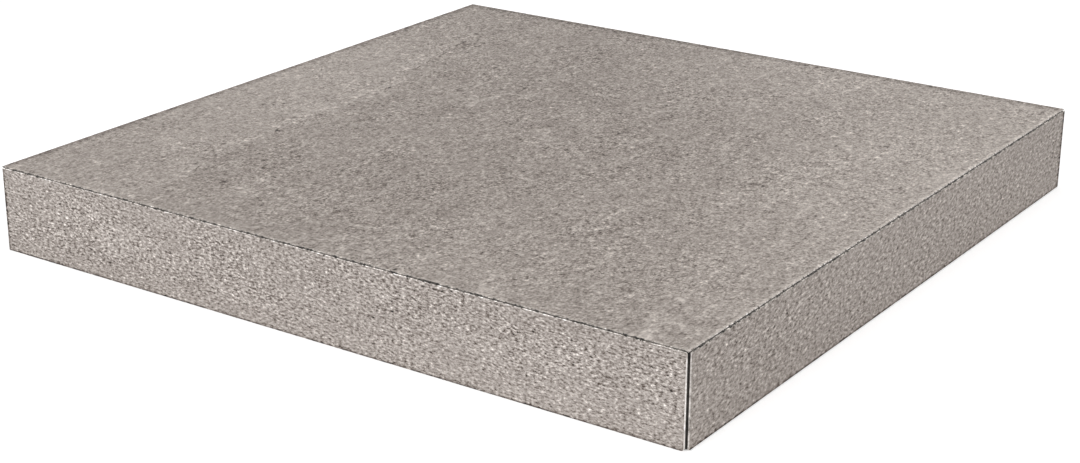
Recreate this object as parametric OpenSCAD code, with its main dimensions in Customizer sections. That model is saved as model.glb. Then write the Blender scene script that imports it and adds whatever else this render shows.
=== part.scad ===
// Corner stair tile in porcelain: a square tread slab with a nosing strip glued
// under each of its two front edges, every glued joint cut as a mitre.
//
// Frame: millimetres, +Z up. The origin is the middle of the footprint, level with
// the feet of the strips. The front edge faces -Y and the side edge faces +X, so the
// outer corner of the stair is at +X, -Y.

/* [Tread] */
// Width of the tread, along the front nosing
tread_w = 330; // [250:5:600]
// Depth of the tread, along the side nosing
tread_d = 330; // [250:5:600]
// Thickness of the porcelain, slab and strips alike
tile_t = 9; // [7:0.5:12]

/* [Nosing] */
// Height from the foot of the strips to the walking face
drop_h = 37; // [28:1:60]
// How far the strips stop short of the free edges of the slab
strip_setback = 0.5; // [0:0.1:2]

/* [Joints] */
// Width of the adhesive line between the slab and a strip
arris_gap = 0.4; // [0.2:0.05:0.5]
// Width of the adhesive line between the two strips
corner_gap = 1; // [0.4:0.1:1.1]
// Depth of the adhesive below the bevel of an arris
arris_recess = 0.5; // [0.2:0.1:1]
// Depth of the adhesive below the bevel of the corner
corner_recess = 0.8; // [0.6:0.1:2]
// How far the adhesive stays back from the ends and the feet of the strips
glue_end = 0.6; // [0.2:0.1:2]

/* [Bevels] */
// Leg of the bevel ground along the two glued arrises
arris_bevel = 0.8; // [0.6:0.1:2]
// Leg of the bevel ground down the outer corner
corner_bevel = 1.4; // [1.2:0.1:2.5]
// Leg of the fine bevel on every other outer edge
rim_bevel = 0.4; // [0.2:0.1:1]
// Leg of the blunting on the tip of the slab, past its two bevels
slab_tip = 0.8; // [0.3:0.1:1]
// Leg of the blunting on the lower tips of the strips
strip_tip = 1.2; // [0.5:0.1:2]

/* [Hidden] */

porcelain = [0.63, 0.60, 0.57];
epoxy = [0.15, 0.13, 0.12];

// Half of each gap, measured along an axis of the frame and not square to the mitre
arris_shift = arris_gap / sqrt(2);
corner_shift = corner_gap / sqrt(2);
// Clearance by which a cutting shape runs past what it cuts
past = 5;

// ---- Placing ---------------------------------------------------------------
// Everything at the nosing is drawn in the frame of its own edge: u runs along the
// edge from the outer corner, v runs inwards from the outer face, and z is up.

// Carries the frame of the front edge to the frame of the tile
module on_front() {
    translate([tread_w / 2, -tread_d / 2, 0]) mirror([1, 0, 0]) children();
}

// Carries the frame of the side edge to the frame of the tile
module on_side() {
    translate([tread_w / 2, -tread_d / 2, 0]) rotate([0, 0, 90]) children();
}

// Extrudes a section drawn as [v, z] along u, from one end to the other
module along_edge(from, to) {
    translate([from, 0, 0])
        rotate([90, 0, 90])
            linear_extrude(height = to - from)
                children();
}

// Extrudes a plan drawn as [u, v] upwards
module upwards(from, to) {
    translate([0, 0, from])
        linear_extrude(height = to - from)
            children();
}

// ---- Tread slab ------------------------------------------------------------
// Section of the slab across a glued arris, over the whole of its span
module slab_section(span) {
    polygon([
        [arris_bevel, drop_h],
        [(arris_bevel + arris_shift) / 2, drop_h - (arris_bevel - arris_shift) / 2],
        [tile_t + arris_shift, drop_h - tile_t],
        [span, drop_h - tile_t],
        [span, drop_h - rim_bevel],
        [span - rim_bevel, drop_h]
    ]);
}

// Plan of the slab with its outer tip blunted
module slab_plan() {
    tip = 2 * arris_bevel + slab_tip;
    polygon([
        [tip, 0],
        [tread_w, 0],
        [tread_w, tread_d],
        [0, tread_d],
        [0, tip]
    ]);
}

module tread_slab() {
    color(porcelain)
        intersection() {
            on_front() along_edge(0, tread_w) slab_section(tread_d);
            on_side() along_edge(0, tread_d) slab_section(tread_w);
            on_front() upwards(0, drop_h + past) slab_plan();
        }
}

// ---- Nosing strips ---------------------------------------------------------
// Section of a strip: mitred head under the slab, bevelled arris, eased foot
module strip_section() {
    polygon([
        [rim_bevel, 0],
        [tile_t, 0],
        [tile_t, drop_h - tile_t - arris_shift],
        [(arris_bevel - arris_shift) / 2, drop_h - (arris_bevel + arris_shift) / 2],
        [0, drop_h - arris_bevel],
        [0, rim_bevel]
    ]);
}

// Plan of a strip: mitred at the outer corner, square at its free end
module strip_plan(length) {
    polygon([
        [corner_bevel, 0],
        [length, 0],
        [length, tile_t],
        [tile_t + corner_shift, tile_t],
        [(corner_bevel + corner_shift) / 2, (corner_bevel - corner_shift) / 2]
    ]);
}

// Blunts the lower tip of a strip at the outer corner, seen square to its face
module strip_tip_cut() {
    reach = corner_bevel + strip_tip;
    rotate([90, 0, 0])
        translate([0, 0, -tile_t - past])
            linear_extrude(height = tile_t + 2 * past)
                polygon([[-past, -past], [reach + past, -past], [-past, reach + past]]);
}

module nosing_strip(edge_length) {
    length = edge_length - strip_setback;
    color(porcelain)
        difference() {
            intersection() {
                along_edge(0, length) strip_section();
                upwards(0, drop_h) strip_plan(length);
            }
            strip_tip_cut();
        }
}

// ---- Adhesive --------------------------------------------------------------
// Section of the adhesive in a mitre: a plate square to the bevel, which starts below
// the bevel and ends level with the inner corner
module arris_glue_section() {
    start = arris_bevel + arris_recess * sqrt(2);
    polygon([
        [(start + arris_shift) / 2, drop_h - (start - arris_shift) / 2],
        [(start - arris_shift) / 2, drop_h - (start + arris_shift) / 2],
        [tile_t, drop_h - tile_t - arris_shift],
        [tile_t + arris_shift, drop_h - tile_t]
    ]);
}

module arris_adhesive(edge_length) {
    end = edge_length - strip_setback - glue_end;
    inner = tile_t + arris_shift;
    color(epoxy)
        intersection() {
            along_edge(0, end) arris_glue_section();
            upwards(0, drop_h)
                polygon([
                    [corner_shift, 0],
                    [end, 0],
                    [end, inner],
                    [inner + corner_shift, inner]
                ]);
        }
}

// Everything below the slab, in section across one edge
module below_slab_section() {
    inner = tile_t + corner_shift + past;
    polygon([
        [0, glue_end],
        [inner, glue_end],
        [inner, drop_h - tile_t],
        [tile_t + arris_shift, drop_h - tile_t],
        [0, drop_h + arris_shift]
    ]);
}

// Plate between the two strips, from below the corner bevel to the inner corner
module corner_glue_plan() {
    start = corner_bevel + corner_recess * sqrt(2);
    end = 2 * tile_t + arris_shift;
    polygon([
        [(start + corner_shift) / 2, (start - corner_shift) / 2],
        [(end + corner_shift) / 2, (end - corner_shift) / 2],
        [(end - corner_shift) / 2, (end + corner_shift) / 2],
        [(start - corner_shift) / 2, (start + corner_shift) / 2]
    ]);
}

module corner_adhesive() {
    reach = tile_t + corner_shift + past;
    color(epoxy)
        intersection() {
            on_front() along_edge(0, reach) below_slab_section();
            on_side() along_edge(0, reach) below_slab_section();
            on_front() upwards(0, drop_h) corner_glue_plan();
        }
}

tread_slab();
on_front() nosing_strip(tread_w);  // front_nosing_strip
on_side() nosing_strip(tread_d);  // side_nosing_strip
on_front() arris_adhesive(tread_w);  // front_joint_adhesive
on_side() arris_adhesive(tread_d);  // side_joint_adhesive
corner_adhesive();  // corner_joint_adhesive
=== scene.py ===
import math

import bmesh
import bpy
from mathutils import Euler, Matrix, Vector


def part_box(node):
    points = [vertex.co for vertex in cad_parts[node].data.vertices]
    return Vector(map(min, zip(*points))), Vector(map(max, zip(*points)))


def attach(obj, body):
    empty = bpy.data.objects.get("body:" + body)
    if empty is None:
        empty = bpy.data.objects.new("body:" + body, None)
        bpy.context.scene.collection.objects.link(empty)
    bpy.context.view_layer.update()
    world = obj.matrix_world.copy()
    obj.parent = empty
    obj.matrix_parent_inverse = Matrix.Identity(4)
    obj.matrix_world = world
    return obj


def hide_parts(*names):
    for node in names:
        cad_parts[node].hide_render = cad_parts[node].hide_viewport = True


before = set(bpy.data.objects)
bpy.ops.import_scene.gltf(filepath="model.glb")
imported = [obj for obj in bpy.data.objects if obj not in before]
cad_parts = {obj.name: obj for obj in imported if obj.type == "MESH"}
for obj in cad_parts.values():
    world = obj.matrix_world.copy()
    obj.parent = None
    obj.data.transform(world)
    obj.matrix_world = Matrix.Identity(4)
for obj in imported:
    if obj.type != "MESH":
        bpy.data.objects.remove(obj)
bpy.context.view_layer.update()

mm = 0.001
tiny = 0.02 * mm  # closer than this is the same place
facingFrom = 0.3  # the share of its normal from which a face counts as facing some way
flatFrom = 0.99  # and the share from which it counts as flat
quarterTurn = math.radians(90)
diagonal = math.sqrt(2)

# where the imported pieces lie
slabLow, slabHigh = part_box("tread_slab")
frontLow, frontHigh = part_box("front_nosing_strip")
_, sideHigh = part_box("side_nosing_strip")
frontGlueLow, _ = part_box("front_joint_adhesive")
_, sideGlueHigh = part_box("side_joint_adhesive")
cornerGlueLow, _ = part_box("corner_joint_adhesive")

faceY = frontLow.y  # outer face of the front strip
faceX = sideHigh.x  # outer face of the side strip
topZ = slabHigh.z
thick = slabHigh.z - slabLow.z

# bevels ground along the glued edges; half of each gap, measured along an axis, follows from
# how far the pieces stay back
arrisBevel = 0.8 * mm
cornerBevel = 1.4 * mm
rimBevel = 0.4 * mm
bevelReach = 2 * mm  # every bevel ends less than this below its face
arrisShift = 2 * (slabLow.y - faceY) - arrisBevel
cornerShift = 2 * (faceX - frontHigh.x) - cornerBevel


def deselectAll():
    if bpy.context.object and bpy.context.object.mode != "OBJECT":
        bpy.ops.object.mode_set(mode="OBJECT")
    bpy.ops.object.select_all(action="DESELECT")


def selectOnly(piece):
    deselectAll()
    piece.select_set(True)
    bpy.context.view_layer.objects.active = piece


def editOnly(piece):
    selectOnly(piece)
    bpy.ops.object.mode_set(mode="EDIT")


def leaveEdit():
    bpy.ops.object.mode_set(mode="OBJECT")


# selects what passes the test, in edit mode; kind is VERT, EDGE or FACE
def pick(piece, kind, test):
    bpy.ops.mesh.select_mode(type=kind)
    bpy.ops.mesh.select_all(action="DESELECT")
    mesh = bmesh.from_edit_mesh(piece.data)
    for part in {"VERT": mesh.verts, "EDGE": mesh.edges, "FACE": mesh.faces}[kind]:
        if test(part):
            part.select_set(True)
    bmesh.update_edit_mesh(piece.data)


def middleOf(edge):
    return (edge.verts[0].co + edge.verts[1].co) / 2


# how an edge is finished, measured in from the outer plane of that side: where the face
# ends, where the bevel ends, how deep the bevel is, where the back ends
def mitredEdge(bevel, shift):
    return {"flat": bevel, "beak": (bevel + shift) / 2, "drop": (bevel - shift) / 2,
            "back": thick + shift, "mitred": True}


def squareEdge(bevel):
    return {"flat": bevel, "beak": 0.0, "drop": bevel, "back": 0.0, "mitred": False}


# the sides of a tile: the axis across each, which way along it the side faces, and its outer plane
def sidesOf(spec):
    west, east, south, north = spec["outline"]
    return {"west": (0, -1, west), "east": (0, 1, east), "south": (1, -1, south), "north": (1, 1, north)}


# a tile lying face up with its face at z = 0: one grid is the face and one the back, and
# round the rim runs a bevel and then a wall, sloped under where the edge is mitred
def cutTile(spec):
    sides = sidesOf(spec)
    edges = spec["edges"]
    mitred = [side for side in edges if edges[side]["mitred"]]

    def at(side, key):
        axis, way, plane = sides[side]
        return plane - way * edges[side][key]

    def onSide(place, side):
        return abs(place[sides[side][0]] - at(side, "flat")) < tiny

    faceLow = Vector((at("west", "flat"), at("south", "flat"), 0))
    faceHigh = Vector((at("east", "flat"), at("north", "flat"), 0))
    backLow = Vector((at("west", "back"), at("south", "back"), -thick))
    backHigh = Vector((at("east", "back"), at("north", "back"), -thick))
    faceSize, backSize = faceHigh - faceLow, backHigh - backLow

    deselectAll()
    bpy.ops.mesh.primitive_grid_add(
        x_subdivisions=spec["cells"][0], y_subdivisions=spec["cells"][1], size=1,
        location=(faceLow + faceHigh) / 2)
    tile = bpy.context.object
    tile.name = spec["name"]
    tile.data.name = spec["name"]
    tile.scale = (faceSize.x, faceSize.y, 1)
    bpy.ops.object.transform_apply(location=True, rotation=True, scale=True)

    editOnly(tile)  # finer steps along the glued arrises, for the small chips there
    pick(tile, "EDGE", lambda edge: edge.is_boundary
         and any(onSide(middleOf(edge), side) for side in mitred))
    bpy.ops.mesh.subdivide(number_cuts=spec["arrisCuts"])

    # back: the same grid turned over and drawn in to where the walls end
    bpy.ops.mesh.select_all(action="SELECT")
    bpy.ops.mesh.duplicate()
    bpy.ops.mesh.flip_normals()
    bpy.ops.transform.resize(
        value=(backSize.x / faceSize.x, backSize.y / faceSize.y, 1),
        center_override=(faceLow + faceHigh) / 2)
    bpy.ops.transform.translate(value=(backLow + backHigh - faceLow - faceHigh) / 2)

    # bevel: the rim of the face is drawn out and down
    shallow = min(edge["drop"] for edge in edges.values())
    pick(tile, "EDGE", lambda edge: edge.is_boundary and middleOf(edge).z > -tiny)
    bpy.ops.mesh.extrude_edges_move(TRANSFORM_OT_translate={"value": (0, 0, -shallow)})
    for side in edges:
        others = [other for other in mitred if other != side]
        if edges[side]["drop"] > shallow + tiny:
            pick(tile, "VERT", lambda vert: abs(vert.co.z + shallow) < tiny and onSide(vert.co, side)
                 and not any(onSide(vert.co, other) for other in others))
            bpy.ops.transform.translate(value=(0, 0, shallow - edges[side]["drop"]))
    for side in edges:
        axis, way, plane = sides[side]
        pick(tile, "VERT", lambda vert: -bevelReach < vert.co.z < -tiny and onSide(vert.co, side))
        out = [0, 0, 0]
        out[axis] = way * (edges[side]["flat"] - edges[side]["beak"])
        bpy.ops.transform.translate(value=out)

    # wall: the two open rims are bridged
    pick(tile, "EDGE", lambda edge: edge.is_boundary)
    bpy.ops.mesh.bridge_edge_loops()
    bpy.ops.mesh.select_all(action="SELECT")
    bpy.ops.mesh.normals_make_consistent(inside=False)
    leaveEdit()
    return tile


# takes off what lies past a plane, and closes the cut with a face
def bluntTip(piece, point, outward):
    editOnly(piece)
    bpy.ops.mesh.select_all(action="SELECT")
    bpy.ops.mesh.bisect(plane_co=point, plane_no=outward, use_fill=True, clear_outer=True)
    leaveEdit()


# gives the face, the back, the walls, the bevels and the blunted tip their own finishes; a later
# region takes its faces from an earlier one, and one with no finish of its own keeps the earlier
def dressTile(tile, finishes):
    def facing(axis, way):
        return lambda face: face.normal.z > facingFrom and face.normal[axis] * way > facingFrom

    def onTip(face):
        return abs(face.normal.z) < facingFrom < min(abs(face.normal.x), abs(face.normal.y))

    regions = {"face": lambda face: True,
               "wall": lambda face: abs(face.normal.z) < facingFrom,
               "mitre": lambda face: face.normal.z < -facingFrom,
               "back": lambda face: face.normal.z < -flatFrom,
               "west": facing(0, -1), "east": facing(0, 1),
               "south": facing(1, -1), "north": facing(1, 1),
               "tip": onTip}
    for region in regions:
        if region in finishes:
            tile.data.materials.append(finishes[region])
            editOnly(tile)
            pick(tile, "FACE", regions[region])
            tile.active_material_index = len(tile.data.materials) - 1
            bpy.ops.object.material_slot_assign()
            leaveEdit()


# the keying pattern pressed into the back: shallow pockets between ribs, with a plain rim round
# them, all of them counted in the grid's own cells
def pressBack(tile, spec):
    back = [vert.co for vert in tile.data.vertices if vert.co.z < -thick + tiny]
    low = [min(place[axis] for place in back) for axis in range(2)]
    high = [max(place[axis] for place in back) for axis in range(2)]

    def inPocket(face):
        if face.normal.z > -flatFrom:
            return False
        place = face.calc_center_bounds()
        for axis in range(2):
            cells, rim = spec["cells"][axis], spec["backRim"]
            cell = math.floor((place[axis] - low[axis]) / (high[axis] - low[axis]) * cells)
            onRib = cell % spec["backPitch"][axis] < spec["backRibs"][axis]
            if onRib or cell < rim or cell >= cells - rim:
                return False
        return True

    editOnly(tile)
    pick(tile, "FACE", inPocket)
    bpy.ops.mesh.inset(thickness=spec["backWall"], depth=-spec["backDepth"], use_even_offset=True)
    leaveEdit()


# the vertices of the face, which get a slight swell that fades out before the rim
def weighRelief(tile, spec):
    sides = sidesOf(spec).values()
    relief = tile.vertex_groups.new(name="relief")
    for vert in tile.data.vertices:
        toRim = min(way * (plane - vert.co[axis]) for axis, way, plane in sides)
        if vert.co.z > -tiny:
            weight = min(max((toRim - spec["reliefMargin"]) / spec["reliefFade"], 0), 1)
            relief.add([vert.index], weight * weight * (3 - 2 * weight), "REPLACE")


# the vertices of the glued arris that gets small nicks
def weighArris(tile, spec):
    axis, way, plane = sidesOf(spec)[spec["nickedSide"]]
    arris = tile.vertex_groups.new(name="arris")
    for vert in tile.data.vertices:
        if vert.co.z > -bevelReach and way * (plane - vert.co[axis]) < spec["nickReach"]:
            arris.add([vert.index], 1.0, "REPLACE")


def cloudTexture(name, size, detail):
    texture = bpy.data.textures.new(name, "CLOUDS")
    texture.noise_scale = size
    texture.noise_depth = detail
    return texture


# only the low spots of the clouds push in, as nicks: fully up to fullTo, not at all from noneFrom
def nickTexture(name, size, detail, fullTo, noneFrom):
    texture = cloudTexture(name, size, detail)
    texture.use_color_ramp = True
    low, high = texture.color_ramp.elements
    low.position, high.position = fullTo, noneFrom
    low.color, high.color = (0, 0, 0, 1), (1, 1, 1, 1)
    return texture


# moves the vertices of a group along one direction by a texture, inwards only unless told otherwise
def pushIn(piece, texture, group, amount, midLevel=1.0, direction="NORMAL"):
    push = piece.modifiers.new(group, "DISPLACE")
    push.texture = texture
    push.texture_coords = "LOCAL"
    push.direction = direction
    push.strength = amount
    push.mid_level = midLevel
    push.vertex_group = group
    selectOnly(piece)
    bpy.ops.object.modifier_apply(modifier=push.name)


# turns and moves a piece to where it belongs, and leaves its object at the origin
def setPiece(piece, turn, move):
    selectOnly(piece)
    piece.rotation_euler = turn
    piece.location = move
    bpy.ops.object.transform_apply(location=True, rotation=True, scale=True)


# smooth over the swell, crisp at the bevels
def crispShading(piece, crispFrom=math.radians(24)):
    selectOnly(piece)
    bpy.ops.object.shade_smooth_by_angle(angle=crispFrom)


def newGroup(name, inputs, outputs):
    group = bpy.data.node_groups.new(name, "ShaderNodeTree")
    kinds = {"vector": "NodeSocketVector", "value": "NodeSocketFloat"}
    for label, kind in inputs:
        group.interface.new_socket(label, in_out="INPUT", socket_type=kinds[kind])
    for label, kind in outputs:
        group.interface.new_socket(label, in_out="OUTPUT", socket_type=kinds[kind])
    return group, group.nodes.new("NodeGroupInput").outputs, group.nodes.new("NodeGroupOutput").inputs


# adds a node; each value is set on the input of that name, or linked to it; i0, i1 count the inputs
def addNode(tree, kind, settings=None, **values):
    node = tree.nodes.new(kind)
    for key, value in (settings or {}).items():
        setattr(node, key, value)
    for key, value in values.items():
        socket = node.inputs[int(key[1:])] if key[0] == "i" and key[1:].isdigit() else node.inputs[key]
        if isinstance(value, bpy.types.NodeSocket):
            tree.links.new(value, socket)
        else:
            socket.default_value = value
    return node


def mathNode(tree, operation, *values):
    numbered = {"i%d" % place: value for place, value in enumerate(values)}
    return addNode(tree, "ShaderNodeMath", {"operation": operation}, **numbered).outputs[0]


def vectorNode(tree, operation, *values):
    numbered = {"i%d" % place: value for place, value in enumerate(values)}
    return addNode(tree, "ShaderNodeVectorMath", {"operation": operation}, **numbered).outputs[0]


# a grain is given as how many there are to the metre, the noise's detail and its roughness
def noiseAt(tree, where, grain):
    perMetre, detail, roughness = grain
    return addNode(tree, "ShaderNodeTexNoise", Vector=where, Scale=perMetre, Detail=detail,
                   Roughness=roughness).outputs["Fac"]


# noise that swings evenly about zero
def swingAt(tree, where, grain):
    return mathNode(tree, "SUBTRACT", noiseAt(tree, where, grain), 0.5)


# 0 up to start and 1 from end on; with the two swapped, 1 up to end and 0 from start on
def ramp(tree, value, start, end):
    node = addNode(tree, "ShaderNodeMapRange", {"interpolation_type": "SMOOTHSTEP"}, Value=value)
    rising = end > start
    node.inputs["From Min"].default_value = start if rising else end
    node.inputs["From Max"].default_value = end if rising else start
    node.inputs["To Min"].default_value = 0.0 if rising else 1.0
    node.inputs["To Max"].default_value = 1.0 if rising else 0.0
    return node.outputs["Result"]


# the spots where a noise has passed an edge, which is given as its start and its end
def spotsAt(tree, where, grain, edge):
    return ramp(tree, noiseAt(tree, where, grain), *edge)


# weakens the small swings and strengthens the large ones
def sparser(tree, swing, small, large):
    strength = mathNode(tree, "MULTIPLY_ADD", mathNode(tree, "ABSOLUTE", swing), large, small)
    return mathNode(tree, "MULTIPLY", swing, strength)


# sandy grain of pressed stoneware: two sizes of grain, crisper in some patches than in others,
# with sparse dark pores and pale crumbs
sandGrain = {
    "fine": (1000.0, 2.0, 0.75), "fineSparse": (0.5, 2.2),
    "coarse": (430.0, 2.0, 0.6), "coarseSparse": (0.25, 3.5), "coarseRelief": 1.5,
    "pores": (640.0, 1.0, 0.5), "poreEdge": (0.34, 0.25), "poreRelief": -0.5,
    "crumbs": (560.0, 1.0, 0.5), "crumbEdge": (0.67, 0.76),
    "pebbles": (250.0, 1.0, 0.5), "pebbleEdge": (0.72, 0.78),
    "patches": (45.0, 3.0, 0.6),
    "aside": (0.37, 0.11, 0.53), "patchesAside": (-0.22, -1.14, 0.53),  # keep the noises apart
    "lift": 0.15,  # pales the palest grains
}


def makeSandGroup(sizes):
    group, given, result = newGroup(
        "sandGrain",
        [("Vector", "vector"), ("Fine", "value"), ("Coarse", "value"), ("Pores", "value"),
         ("Crumbs", "value"), ("Patchy", "value"), ("Crisp", "value")],
        [("Tone", "value"), ("Height", "value")])
    where = given["Vector"]
    aside = vectorNode(group, "ADD", where, sizes["aside"])
    patchesAside = vectorNode(group, "ADD", where, sizes["patchesAside"])
    fine = sparser(group, swingAt(group, where, sizes["fine"]), *sizes["fineSparse"])
    coarse = sparser(group, swingAt(group, aside, sizes["coarse"]), *sizes["coarseSparse"])
    pores = spotsAt(group, aside, sizes["pores"], sizes["poreEdge"])
    crumbs = spotsAt(group, where, sizes["crumbs"], sizes["crumbEdge"])
    pebbles = spotsAt(group, aside, sizes["pebbles"], sizes["pebbleEdge"])
    crumbs = mathNode(group, "MAXIMUM", crumbs, pebbles)
    crisp = mathNode(group, "MULTIPLY_ADD", swingAt(group, patchesAside, sizes["patches"]),
                     given["Patchy"], given["Crisp"])
    tone = mathNode(group, "MULTIPLY", fine, given["Fine"])
    tone = mathNode(group, "MULTIPLY_ADD", coarse, given["Coarse"], tone)
    tone = mathNode(group, "MULTIPLY_ADD", crumbs, given["Crumbs"], tone)
    tone = mathNode(group, "SUBTRACT", tone, mathNode(group, "MULTIPLY", pores, given["Pores"]))
    height = mathNode(group, "MULTIPLY_ADD", coarse, sizes["coarseRelief"], fine)
    height = mathNode(group, "MULTIPLY_ADD", pores, sizes["poreRelief"], height)
    tone = mathNode(group, "MULTIPLY", tone, crisp)
    lifted = mathNode(group, "MULTIPLY", mathNode(group, "MULTIPLY", tone, tone), sizes["lift"])
    group.links.new(mathNode(group, "ADD", tone, lifted), result["Tone"])
    group.links.new(mathNode(group, "MULTIPLY", height, crisp), result["Height"])
    return group


# the broad look of weathered stone: soft clouds and mottling, both drawn out one way, with a
# few pale wisps and clusters of crumbs
stoneClouds = {
    "clouds": (8.0, 3.0, 0.5),
    "mottle": (130.0, 4.0, 0.62), "mottleSparse": (0.2, 5.0),
    "patches": (40.0, 1.0, 0.5), "aside": (0.71, 0.23, 0.17),  # where wisps and crumbs show
    "wisps": (32.0, 5.0, 0.55), "wispHalf": 0.02, "wispPatch": (0.54, 0.66),
    "crumbs": (400.0, 2.0, 0.5), "crumbEdge": (0.6, 0.7), "crumbPatch": (0.57, 0.68),
}


def makeCloudGroup(sizes):
    group, given, result = newGroup(
        "stoneClouds",
        [("Vector", "vector"), ("Clouds", "value"), ("Mottle", "value"), ("Wisps", "value")],
        [("Tone", "value")])
    where = given["Vector"]
    aside = vectorNode(group, "ADD", where, sizes["aside"])
    clouds = swingAt(group, where, sizes["clouds"])
    mottle = sparser(group, swingAt(group, where, sizes["mottle"]), *sizes["mottleSparse"])
    wander = mathNode(group, "ABSOLUTE", swingAt(group, where, sizes["wisps"]))
    wisps = mathNode(group, "MULTIPLY", ramp(group, wander, sizes["wispHalf"], 0.0),
                     spotsAt(group, aside, sizes["patches"], sizes["wispPatch"]))
    crumbs = mathNode(group, "MULTIPLY", spotsAt(group, where, sizes["crumbs"], sizes["crumbEdge"]),
                      spotsAt(group, where, sizes["patches"], sizes["crumbPatch"]))
    pale = mathNode(group, "ADD", crumbs, wisps)
    tone = mathNode(group, "MULTIPLY", clouds, given["Clouds"])
    tone = mathNode(group, "MULTIPLY_ADD", mottle, given["Mottle"], tone)
    tone = mathNode(group, "MULTIPLY_ADD", pale, given["Wisps"], tone)
    group.links.new(tone, result["Tone"])
    return group


# where two layers of the stone meet, across X: a step in tone along a wavy and ragged edge, with
# a broken hairline in it and pale crumbs beside it; it fades out along Y
stoneLayer = {
    "drift": (7.0, 2.0, 0.5), "ragged": (45.0, 5.0, 0.6), "raggedBy": 22 * mm,
    "lineHalf": 0.9 * mm, "lineBreaks": (70.0, 2.0, 0.5), "lineEdge": (0.5, 0.62),
    "crumbs": (330.0, 2.0, 0.5), "crumbEdge": (0.54, 0.66),
    "crumbsAside": 3 * mm, "crumbsReach": 8 * mm,
    "fade": 40 * mm,
}


def makeLayerGroup(sizes):
    group, given, result = newGroup(
        "stoneLayer",
        [("Vector", "vector"), ("Wave", "value"), ("Soft", "value"), ("Step", "value"),
         ("Line", "value"), ("Crumbs", "value"), ("Fades", "value")],
        [("Tone", "value")])
    where = given["Vector"]
    drift = mathNode(group, "MULTIPLY", swingAt(group, where, sizes["drift"]), given["Wave"])
    ragged = swingAt(group, where, sizes["ragged"])
    parts = addNode(group, "ShaderNodeSeparateXYZ", Vector=where).outputs
    past = mathNode(group, "ADD", parts[0], drift)
    past = mathNode(group, "MULTIPLY_ADD", ragged, sizes["raggedBy"], past)
    step = ramp(group, mathNode(group, "DIVIDE", past, given["Soft"]), 1.0, -1.0)
    line = mathNode(group, "MULTIPLY",
                    ramp(group, mathNode(group, "ABSOLUTE", past), sizes["lineHalf"], 0.0),
                    spotsAt(group, where, sizes["lineBreaks"], sizes["lineEdge"]))
    beside = mathNode(group, "ABSOLUTE", mathNode(group, "ADD", past, sizes["crumbsAside"]))
    crumbs = mathNode(group, "MULTIPLY", ramp(group, beside, sizes["crumbsReach"], 0.0),
                      spotsAt(group, where, sizes["crumbs"], sizes["crumbEdge"]))
    tone = mathNode(group, "MULTIPLY", step, given["Step"])
    tone = mathNode(group, "MULTIPLY_ADD", crumbs, given["Crumbs"], tone)
    tone = mathNode(group, "SUBTRACT", tone, mathNode(group, "MULTIPLY", line, given["Line"]))
    beyond = mathNode(group, "SUBTRACT", parts[1], given["Fades"])
    shown = ramp(group, beyond, sizes["fade"], -sizes["fade"])
    group.links.new(mathNode(group, "MULTIPLY", tone, shown), result["Tone"])
    return group


# painted shade: darkens the print along up to three edges as if those rims stood in shade, or paints a
# highlight there if
# Shade is negative; Way and Start turn a place into how far in from each edge it lies
paintedRimShade = {"breaks": (400.0, 2.0, 0.5), "breaksBy": 1.6, "fullTo": 0.3}


def makeRimGroup(sizes):
    group, given, result = newGroup(
        "paintedRimShade",
        [("Vector", "vector"), ("Way", "vector"), ("Start", "vector"), ("Width", "value"),
         ("Shade", "value")],
        [("Tone", "value")])
    inward = vectorNode(group, "MULTIPLY_ADD", given["Vector"], given["Way"], given["Start"])
    parts = addNode(group, "ShaderNodeSeparateXYZ", Vector=inward).outputs
    nearest = mathNode(group, "MINIMUM", mathNode(group, "MINIMUM", parts[0], parts[1]), parts[2])
    uneven = mathNode(group, "MULTIPLY_ADD", swingAt(group, given["Vector"], sizes["breaks"]),
                      sizes["breaksBy"], 1.0)
    inside = mathNode(group, "DIVIDE", nearest, mathNode(group, "MULTIPLY", given["Width"], uneven))
    shade = mathNode(group, "MULTIPLY", ramp(group, inside, 1.0, sizes["fullTo"]), given["Shade"])
    group.links.new(mathNode(group, "MULTIPLY", shade, -1.0), result["Tone"])
    return group


sandGroup = makeSandGroup(sandGrain)
cloudGroup = makeCloudGroup(stoneClouds)
layerGroup = makeLayerGroup(stoneLayer)
rimGroup = makeRimGroup(paintedRimShade)


# the Way and Start of a rim; each of its edges is given as the axis across it, which way it
# faces, where it lies, and the share of the depth that counts, which is less where it runs wider
def rimLines(edges):
    way, start = [0, 0, 0], [1, 1, 1]  # across an axis with no edge, all of it lies a metre in
    for axis, outward, plane, share in edges:
        way[axis] = -outward * share
        start[axis] = outward * share * plane
    return way, start


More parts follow.
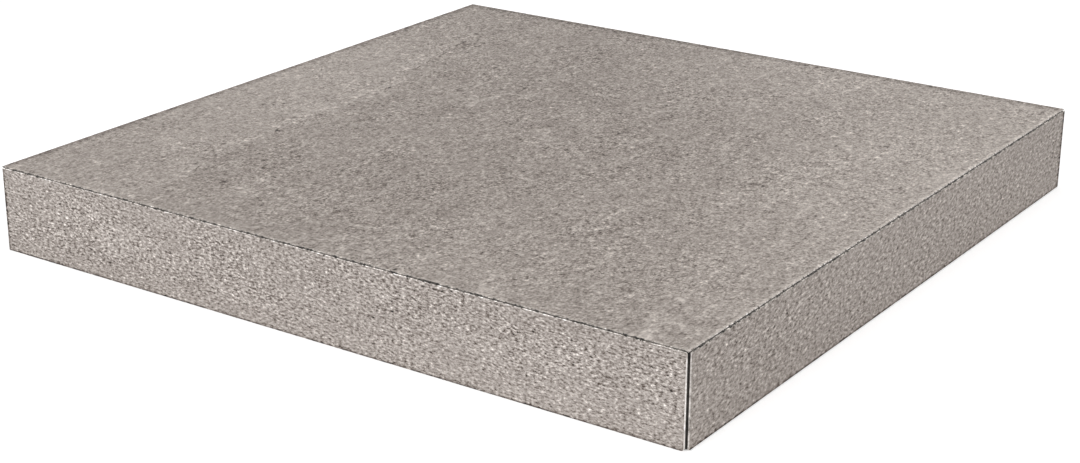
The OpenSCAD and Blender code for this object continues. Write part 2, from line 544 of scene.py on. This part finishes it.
# one stoneware finish
def stoneware(name, look):
    material = bpy.data.materials.new(name)
    material.use_nodes = True
    tree = material.node_tree
    shader = tree.nodes["Principled BSDF"]
    place = addNode(tree, "ShaderNodeTexCoord").outputs["Object"]
    where = addNode(tree, "ShaderNodeMapping", Vector=place, Location=look["shift"]).outputs[0]
    along = addNode(tree, "ShaderNodeVectorMath", {"operation": "DOT_PRODUCT"},
                    i0=place, i1=look["crisper"]).outputs["Value"]
    crisp = mathNode(tree, "ADD", along, 1.0)
    sand = addNode(tree, "ShaderNodeGroup", {"node_tree": sandGroup},
                   Vector=vectorNode(tree, "MULTIPLY", where, look["stretch"]),
                   Fine=look["fine"], Coarse=look["coarse"], Pores=look["pores"], Crumbs=look["crumbs"],
                   Patchy=look["patchy"], Crisp=crisp)
    cloud = addNode(tree, "ShaderNodeGroup", {"node_tree": cloudGroup},
                    Vector=vectorNode(tree, "MULTIPLY", where, look["drawn"]),
                    Clouds=look["clouds"], Mottle=look["mottle"], Wisps=look["wisps"])
    tone = mathNode(tree, "ADD", sand.outputs["Tone"], cloud.outputs["Tone"])
    for layer in look.get("layers", []):
        edge = addNode(tree, "ShaderNodeMapping", Vector=place, Location=(-layer["place"], 0, 0),
                       Rotation=(0, 0, -layer["turn"])).outputs[0]
        meeting = addNode(tree, "ShaderNodeGroup", {"node_tree": layerGroup}, Vector=edge,
                          Wave=layer["wave"], Soft=layer["soft"], Step=layer["step"],
                          Line=layer["line"], Crumbs=layer["crumbs"], Fades=layer["fades"])
        tone = mathNode(tree, "ADD", tone, meeting.outputs["Tone"])
    # painted shade and painted highlights along the rims
    for rim in look.get("paintedRims", []):
        way, start = rimLines(rim["edges"])
        shade = addNode(tree, "ShaderNodeGroup", {"node_tree": rimGroup}, Vector=place,
                        Way=way, Start=start, Width=rim["width"], Shade=rim["shade"])
        tone = mathNode(tree, "ADD", tone, shade.outputs["Tone"])
    colour = addNode(tree, "ShaderNodeMix",
                     {"data_type": "RGBA", "clamp_factor": False, "clamp_result": True},
                     i0=mathNode(tree, "ADD", tone, look["level"]),
                     i6=(*look["dark"], 1), i7=(*look["pale"], 1))  # 6, 7 and output 2 are colours
    tree.links.new(colour.outputs[2], shader.inputs["Base Color"])
    rough = mathNode(tree, "MULTIPLY_ADD", sand.outputs["Tone"], look["roughBy"], look["roughness"])
    tree.links.new(rough, shader.inputs["Roughness"])
    bump = addNode(tree, "ShaderNodeBump", Height=sand.outputs["Height"], Strength=look["bump"],
                   Distance=look["relief"])
    tree.links.new(bump.outputs[0], shader.inputs["Normal"])
    shader.inputs["Specular IOR Level"].default_value = look["specular"]
    return material


# printed and structured face: a sandy beige grey
faceLook = {
    "dark": (0.170, 0.142, 0.124), "pale": (0.489, 0.441, 0.407),
    "level": 0.5,  # where between dark and pale it lies
    "fine": 4.8, "coarse": 2.9, "pores": 0.18, "crumbs": 0.35,
    "patchy": 2.0,  # how much crisper the grain is in some patches
    "crisper": (0.0, 0.0, 0.0),  # and how much along each axis, for each metre
    "clouds": 0.4, "mottle": 0.7, "wisps": 0.0,
    "stretch": (1.0, 1.0, 1.0),  # of the grain: under 1 draws it out along that axis
    "drawn": (1.0, 1.0, 1.0),  # and the same of the clouds, mottling and wisps
    "shift": (0.0, 0.0, 0.0),  # to another part of the pattern
    "roughness": 0.62, "roughBy": 0.05, "specular": 0.35, "bump": 0.5, "relief": 0.2 * mm,
}
# a meeting of layers: place and turn are of its edge, which waves, is hard or soft, makes a step in
# tone, and may have a hairline and crumbs; fades is how far along the edge it goes
softLayer = {"turn": 0.0, "wave": 40 * mm, "line": 0.0, "crumbs": 0.0, "fades": 1.0}
slabFace = stoneware("slabFace", {
    # the level is set higher here than on the strips' faces: a painted lift of light on the top, which
    # these lamps light less
    **faceLook, "dark": (0.170, 0.1405, 0.1215), "pale": (0.489, 0.438, 0.399), "level": 0.685,
    "fine": 4.4, "coarse": 2.8, "pores": 0.12, "patchy": 1.45, "mottle": 0.85, "wisps": 0.4,
    "crisper": (0.26, 0.57, 0.0), "bump": 0.35,
    "stretch": (0.96, 0.74, 1.0), "drawn": (1.0, 0.4, 1.0),
    "layers": [
        {"place": -107 * mm, "turn": math.radians(6), "wave": 60 * mm, "soft": 2 * mm,
         "step": 0.13, "line": 1.1, "crumbs": 0.7, "fades": 110 * mm},
        {"place": 45 * mm, "turn": math.radians(-8), "wave": 40 * mm, "soft": 4 * mm,
         "step": -0.08, "line": 0.9, "crumbs": 0.6, "fades": -70 * mm},
        {"place": 118 * mm, "turn": math.radians(10), "wave": 50 * mm, "soft": 6 * mm,
         "step": 0.0, "line": 0.7, "crumbs": 0.6, "fades": 120 * mm},
        # these two soft steps make the top lighter at its left and right ends and darker between them:
        # partly the stone's own clouding, partly a painted sheen at the two ends
        {**softLayer, "place": -75 * mm, "turn": math.radians(25), "soft": 80 * mm, "step": 0.12},
        {**softLayer, "place": 95 * mm, "turn": math.radians(35), "soft": 90 * mm, "step": -0.27}],
    "paintedRims": [
        # painted shade: a dark outline along the slab's west and north rims
        {"width": 5.5 * mm, "shade": 0.42, "edges": [(0, -1, slabLow.x, 1), (1, 1, slabHigh.y, 0.75)]},
        # painted highlights: a pale line beside the side arris, and a fainter one beside the front arris
        {"width": 1.6 * mm, "shade": -0.45, "edges": [(0, 1, faceX - arrisBevel, 1)]},
        {"width": 1.6 * mm, "shade": -0.2, "edges": [(1, -1, faceY + arrisBevel, 1)]}]})
frontFace = stoneware("frontFace", {
    **faceLook, "dark": (0.170, 0.143, 0.126), "pale": (0.489, 0.444, 0.413), "level": 0.495,
    "fine": 6.95, "coarse": 0.6, "pores": 0.1, "patchy": 1.4, "clouds": 0.42, "mottle": 0.8,
    "crisper": (-0.35, 0.0, 0.0),
    "stretch": (0.56, 1.0, 1.2), "drawn": (0.7, 1.0, 2.4), "shift": (1.3, 0.4, 2.2),
    "layers": [{**softLayer, "place": 90 * mm, "soft": 50 * mm, "step": -0.065}],
    # painted shade along the front strip's foot and its left end
    "paintedRims": [{"width": 1.2 * mm, "shade": 0.75, "edges": [(0, -1, frontLow.x, 0.65), (2, -1, 0, 1)]}]})
sideFace = stoneware("sideFace", {
    **faceLook, "level": 0.505, "fine": 4.8, "coarse": 0.5, "patchy": 1.0, "clouds": 0.45, "mottle": 0.06,
    "stretch": (1.0, 0.43, 0.86), "drawn": (1.0, 0.5, 1.0), "shift": (3.1, 2.7, 0.9),
    # painted shade along the side strip's foot and its far end
    "paintedRims": [{"width": 1.6 * mm, "shade": 0.8, "edges": [(1, 1, sideHigh.y, 0.5), (2, -1, 0, 1)]}]})

# the same ware where it is ground or sawn: a paler body
bodyLook = {
    **faceLook, "dark": (0.42, 0.375, 0.343), "pale": (0.70, 0.65, 0.612),
    "fine": 1.4, "coarse": 1.0, "pores": 0.2, "crumbs": 0.1, "clouds": 0.2, "mottle": 0.4,
    "roughness": 0.55, "bump": 0.3, "shift": (2.0, 5.0, 1.0),
}
# on the thin bevels of the arrises the mottling is as small as the crumbs
arrisLook = {**bodyLook, "fine": 3.4, "coarse": 8.0, "patchy": 0.6, "mottle": 1.6, "clouds": 0.0,
             "stretch": (1.4, 1.4, 1.4), "drawn": (3.2, 3.2, 3.2)}
# painted light on the arris bevels, two copies of one ground body: the pale one is a painted highlight,
# the dull one painted shade
arrisPaintedHighlight = stoneware("arrisPaintedHighlight", {
    **arrisLook, "dark": (0.16, 0.14, 0.12), "pale": (0.76, 0.71, 0.67)})
arrisPaintedShade = stoneware("arrisPaintedShade", {
    **arrisLook, "dark": (0.06, 0.052, 0.045), "pale": (0.50, 0.46, 0.42)})
# the wider bevels down the corner, painted highlights, paler on the front strip than on the side strip;
# the paler one also paints a light spot on the slab's blunted tip
cornerLook = {**bodyLook, "fine": 2.2, "coarse": 2.6, "mottle": 2.6, "crumbs": 0.2}
cornerPaintedHighlight = stoneware("cornerPaintedHighlight", {
    **cornerLook, "dark": (0.48, 0.44, 0.41), "pale": (0.90, 0.86, 0.83)})
cornerPaintedSoftHighlight = stoneware("cornerPaintedSoftHighlight", {
    **cornerLook, "dark": (0.26, 0.235, 0.215), "pale": (0.76, 0.715, 0.68)})
# sawn edges, with the marks of the blade running along them
sawnSlab = stoneware("sawnSlab", {**bodyLook, "fine": 1.8, "stretch": (0.06, 0.06, 1.0)})
sawnEnd = stoneware("sawnEnd", {**bodyLook, "fine": 1.8, "stretch": (1.0, 1.0, 0.06)})
smearedMitre = stoneware("smearedMitre", {
    **bodyLook, "dark": (0.03, 0.026, 0.022), "pale": (0.22, 0.20, 0.18), "coarse": 2.0, "mottle": 2.0})
tileBack = stoneware("tileBack", {
    **bodyLook, "dark": (0.36, 0.32, 0.292), "pale": (0.56, 0.51, 0.474), "fine": 1.0, "coarse": 1.0,
    "clouds": 0.8, "mottle": 0.9, "roughness": 0.8, "bump": 0.6, "shift": (5.0, 1.0, 4.0)})
jointEpoxy = stoneware("jointEpoxy", {
    **bodyLook, "dark": (0.004, 0.0035, 0.003), "pale": (0.060, 0.051, 0.044), "fine": 0.6, "coarse": 2.0,
    "pores": 0.0, "crumbs": 0.0, "mottle": 6.0, "roughness": 0.45, "bump": 0.2})
jointDust = stoneware("jointDust", {
    **arrisLook, "dark": (0.015, 0.013, 0.011), "pale": (0.22, 0.192, 0.17)})
print("finishes made")

swell = cloudTexture("swell", 22 * mm, detail=2)
nicks = nickTexture("nicks", 1.6 * mm, detail=2, fullTo=0.15, noneFrom=0.48)


# what every tile goes through once it is cut
def finishTile(tile, spec, turn, move):
    dressTile(tile, spec["finishes"])
    pressBack(tile, spec)
    weighRelief(tile, spec)
    weighArris(tile, spec)
    setPiece(tile, turn, move)
    pushIn(tile, swell, "relief", spec["relief"])
    pushIn(tile, nicks, "arris", spec["nick"])
    crispShading(tile)


# tread slab
slab = {
    "name": "treadSlab",
    "outline": (slabLow.x, faceX, faceY, slabHigh.y),
    "cells": (150, 150),  # how finely the face and the back are divided
    "arrisCuts": 2,  # and how much finer the glued arrises are
    "edges": {"south": mitredEdge(arrisBevel, arrisShift), "east": mitredEdge(arrisBevel, arrisShift),
              "north": squareEdge(rimBevel), "west": squareEdge(rimBevel)},
    "tipBlunt": 0.8 * mm,
    "backPitch": (10, 10), "backRibs": (2, 2), "backRim": 2,
    "backWall": 0.6 * mm, "backDepth": 0.5 * mm,
    "reliefMargin": 1.5 * mm, "reliefFade": 14 * mm, "relief": 0.22 * mm,
    "nickedSide": "south", "nickReach": 0.9 * mm, "nick": 0.3 * mm,  # how far in, and how deep
    # the south arris bevel carries painted shade, the east arris bevel and the tip painted highlights
    "finishes": {"face": slabFace, "wall": sawnSlab, "mitre": smearedMitre, "back": tileBack,
                 "south": arrisPaintedShade, "east": arrisPaintedHighlight, "tip": cornerPaintedHighlight},
}
treadSlab = cutTile(slab)
tipReach = 2 * arrisBevel + slab["tipBlunt"]
bluntTip(treadSlab, (faceX - tipReach / 2, faceY + tipReach / 2, 0), (1, -1, 0))
finishTile(treadSlab, slab, (0, 0, 0), (0, 0, topZ))
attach(treadSlab, "root")
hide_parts("tread_slab")
print("tread slab made")


# nosing strips: worked lying on their backs, then stood up under their own edge of the slab
strip = {
    "cells": (220, 24),
    "arrisCuts": 2,
    "tipRound": 2 * mm, "tipCuts": 3,  # the lower tip of the corner, and its flats
    "endBevel": 0.3 * mm,
    "backPitch": (10, 8), "backRibs": (2, 2), "backRim": 2,
    "backWall": 0.5 * mm, "backDepth": 0.5 * mm,
    "reliefMargin": 1.5 * mm, "reliefFade": 8 * mm, "relief": 0.18 * mm,
    "nickedSide": "north", "nickReach": 0.9 * mm,
}
front = {
    **strip,
    "name": "frontNosingStrip",
    "outline": (frontLow.x, faceX, 0.0, topZ),
    "edges": {"north": mitredEdge(arrisBevel, arrisShift), "east": mitredEdge(cornerBevel, cornerShift),
              "south": squareEdge(rimBevel), "west": squareEdge(strip["endBevel"])},
    "corner": "east",
    "nick": 0.3 * mm,
    # the top arris bevel and the corner bevel carry painted highlights
    "finishes": {"face": frontFace, "wall": sawnEnd, "mitre": smearedMitre, "back": tileBack,
                 "north": arrisPaintedHighlight, "east": cornerPaintedHighlight},
}
side = {
    **strip,
    "name": "sideNosingStrip",
    "outline": (faceY, sideHigh.y, 0.0, topZ),
    "edges": {"north": mitredEdge(arrisBevel, arrisShift), "west": mitredEdge(cornerBevel, cornerShift),
              "south": squareEdge(rimBevel), "east": squareEdge(strip["endBevel"])},
    "corner": "west",
    "nick": 0.12 * mm,
    # the top arris bevel carries painted shade and the corner bevel a softer painted highlight
    "finishes": {"face": sideFace, "wall": sawnEnd, "mitre": smearedMitre, "back": tileBack,
                 "north": arrisPaintedShade, "west": cornerPaintedSoftHighlight},
}


def nosingStrip(spec, turn, move):
    piece = cutTile(spec)
    _, outward, plane = sidesOf(spec)[spec["corner"]]
    tipX = plane - outward * spec["edges"][spec["corner"]]["beak"]
    radius = spec["tipRound"]
    for cut in range(spec["tipCuts"]):
        angle = quarterTurn * (cut + 1) / (spec["tipCuts"] + 1)
        out = Vector((outward * math.cos(angle), -math.sin(angle), 0))
        bluntTip(piece, Vector((tipX - outward * radius, radius, 0)) + radius * out, out)
    finishTile(piece, spec, turn, move)
    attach(piece, "root")
    return piece


frontStrip = nosingStrip(front, (quarterTurn, 0, 0), (0, faceY, 0))
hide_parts("front_nosing_strip")
sideStrip = nosingStrip(side, (quarterTurn, 0, quarterTurn), (faceX, 0, 0))
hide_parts("side_nosing_strip")
print("nosing strips made")

# set adhesive in the three mitres: a thin bar, its outer edge a little wavy
glue = {
    "arrisRecess": 0.5 * mm, "cornerRecess": 0.8 * mm,
    "wave": 0.16 * mm, "waveSize": 3 * mm,
    "cuts": (14, 14),  # each pass cuts every step of the one before
}
glueWave = cloudTexture("glueWave", glue["waveSize"], detail=2)


# a bar along X from the origin, its outer edge on Y = 0
def glueBar(name, length, width, gap, finish):
    deselectAll()
    bpy.ops.mesh.primitive_cube_add(size=1, location=(length / 2, width / 2, 0))
    bar = bpy.context.object
    bar.name = name
    bar.data.name = name
    bar.scale = (length, width, gap)
    bpy.ops.object.transform_apply(location=True, rotation=True, scale=True)
    editOnly(bar)
    for cuts in glue["cuts"]:  # steps along the bar
        pick(bar, "EDGE", lambda edge: abs(edge.verts[0].co.x - edge.verts[1].co.x) > tiny)
        bpy.ops.mesh.subdivide(number_cuts=cuts)
    leaveEdit()
    outer = bar.vertex_groups.new(name="outer")
    outer.add([vert.index for vert in bar.data.vertices if vert.co.y < tiny], 1.0, "REPLACE")
    pushIn(bar, glueWave, "outer", 2 * glue["wave"], midLevel=0.5, direction="Y")
    bar.data.materials.append(finish)
    return bar


def finishGlue(bar, node):
    crispShading(bar)
    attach(bar, "root")
    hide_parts(node)


arrisStart = arrisBevel / 2 + glue["arrisRecess"] / diagonal
arrisEnd = thick + arrisShift / 2
arrisWidth = (arrisEnd - arrisStart) * diagonal
cornerStart = cornerBevel / 2 + glue["cornerRecess"] / diagonal
cornerWidth = (arrisEnd - cornerStart) * diagonal
arrisGap = arrisShift * diagonal
cornerGap = cornerShift * diagonal
eighthTurn = quarterTurn / 2

frontGlue = glueBar("frontJointAdhesive", faceX - frontGlueLow.x, arrisWidth, arrisGap, jointDust)
setPiece(frontGlue, (-eighthTurn, 0, 0), (frontGlueLow.x, faceY + arrisStart, topZ - arrisStart))
bluntTip(frontGlue, (faceX - cornerShift, faceY, 0), (1, 1, 0))
finishGlue(frontGlue, "front_joint_adhesive")

sideGlue = glueBar("sideJointAdhesive", sideGlueHigh.y - faceY, arrisWidth, arrisGap, jointDust)
setPiece(sideGlue, (-eighthTurn, 0, quarterTurn), (faceX - arrisStart, faceY, topZ - arrisStart))
bluntTip(sideGlue, (faceX, faceY + cornerShift, 0), (-1, -1, 0))
finishGlue(sideGlue, "side_joint_adhesive")

cornerGlue = glueBar("cornerJointAdhesive", topZ - cornerGlueLow.z, cornerWidth, cornerGap, jointEpoxy)
cornerFoot = (faceX - cornerStart, faceY + cornerStart, cornerGlueLow.z)
setPiece(cornerGlue, (0, -quarterTurn, eighthTurn), cornerFoot)
bluntTip(cornerGlue, (faceX, faceY + arrisShift, topZ), (0, 1, 1))
bluntTip(cornerGlue, (faceX - arrisShift, faceY, topZ), (-1, 0, 1))
finishGlue(cornerGlue, "corner_joint_adhesive")
print("adhesive made")

# stage: a pale floor that goes over to white away from the piece, and a white surround
white = (1, 1, 1, 1)
stage = {
    "floor": 8.0, "floorTone": 0.86, "floorRoughness": 0.9, "floorSpecular": 0.1,
    "floorLift": 0.43,  # glow that only the camera sees
    "shadowEnd": 0.28, "whiteFrom": 0.75,  # how far from the middle the floor turns white
    "ambient": 0.5,
}


def floorPaint(spec):
    material = bpy.data.materials.new("floorPaint")
    material.use_nodes = True
    tree = material.node_tree
    shader = tree.nodes["Principled BSDF"]
    shader.inputs["Base Color"].default_value = (*[spec["floorTone"]] * 3, 1)
    shader.inputs["Roughness"].default_value = spec["floorRoughness"]
    shader.inputs["Specular IOR Level"].default_value = spec["floorSpecular"]
    shader.inputs["Emission Color"].default_value = white
    toCamera = addNode(tree, "ShaderNodeLightPath").outputs["Is Camera Ray"]
    tree.links.new(mathNode(tree, "MULTIPLY", toCamera, spec["floorLift"]),
                   shader.inputs["Emission Strength"])
    plain = addNode(tree, "ShaderNodeEmission", Color=white, Strength=1.0)
    place = addNode(tree, "ShaderNodeTexCoord").outputs["Object"]
    away = addNode(tree, "ShaderNodeVectorMath", {"operation": "LENGTH"}, i0=place).outputs["Value"]
    far = mathNode(tree, "MULTIPLY", ramp(tree, away, spec["shadowEnd"], spec["whiteFrom"]), toCamera)
    blend = addNode(tree, "ShaderNodeMixShader", i0=far, i1=shader.outputs[0], i2=plain.outputs[0])
    tree.links.new(blend.outputs[0], tree.nodes["Material Output"].inputs["Surface"])
    return material


# white where it is seen, plain soft light for the rest
def studioWorld(spec):
    world = bpy.data.worlds.new("studio")
    world.use_nodes = True
    tree = world.node_tree
    tree.nodes.clear()
    rays = addNode(tree, "ShaderNodeLightPath").outputs
    seen = mathNode(tree, "MAXIMUM", rays["Is Camera Ray"], rays["Is Glossy Ray"])
    seen = mathNode(tree, "MAXIMUM", seen, rays["Is Transmission Ray"])
    light = addNode(tree, "ShaderNodeBackground", Color=white, Strength=spec["ambient"])
    shown = addNode(tree, "ShaderNodeBackground", Color=white, Strength=1.0)
    mix = addNode(tree, "ShaderNodeMixShader", i0=seen, i1=light.outputs[0], i2=shown.outputs[0])
    addNode(tree, "ShaderNodeOutputWorld", Surface=mix.outputs[0])
    return world


deselectAll()
bpy.ops.mesh.primitive_plane_add(size=stage["floor"])
floor = bpy.context.object
floor.name = "floor"
floor.data.materials.append(floorPaint(stage))
bpy.context.scene.world = studioWorld(stage)

# soft lamps, all aimed at the middle of the piece
lamps = {
    "keyLamp": {"place": (-0.72, -2.1, 0.89), "size": 1.4, "power": 29.3},
    "fillLamp": {"place": (2.03, -0.84, 0.96), "size": 1.4, "power": 22},
    "topLamp": {"place": (0.2, 0.2, 2.4), "size": 1.6, "power": 7},
}
for name, spec in lamps.items():
    deselectAll()
    bpy.ops.object.light_add(type="AREA", location=spec["place"])
    lamp = bpy.context.object
    lamp.name = name
    lamp.data.size = spec["size"]
    lamp.data.energy = spec["power"]
    lamp.rotation_euler = (-Vector(spec["place"])).to_track_quat("-Z", "Y").to_euler()

# camera: it looks at aim from a distance, along azimuth and elevation in degrees
camera = {"azimuth": 35.124, "elevation": 20.518, "distance": 909.1 * mm,
          "aim": (-9.94 * mm, -16.4 * mm, -3.9 * mm), "lens": 69.73, "sensor": 36, "shift": 0.0235}
tilt = Euler((quarterTurn - math.radians(camera["elevation"]), 0, math.radians(camera["azimuth"])))
back = Matrix.Translation((0, 0, camera["distance"]))
deselectAll()
bpy.ops.object.camera_add()
eye = bpy.context.object
eye.name = "viewCamera"
eye.data.lens = camera["lens"]
eye.data.sensor_width = camera["sensor"]
eye.data.shift_x = camera["shift"]
eye.matrix_world = Matrix.Translation(camera["aim"]) @ tilt.to_matrix().to_4x4() @ back
bpy.context.scene.camera = eye
bpy.context.scene.view_settings.view_transform = "Standard"
print("stage set")
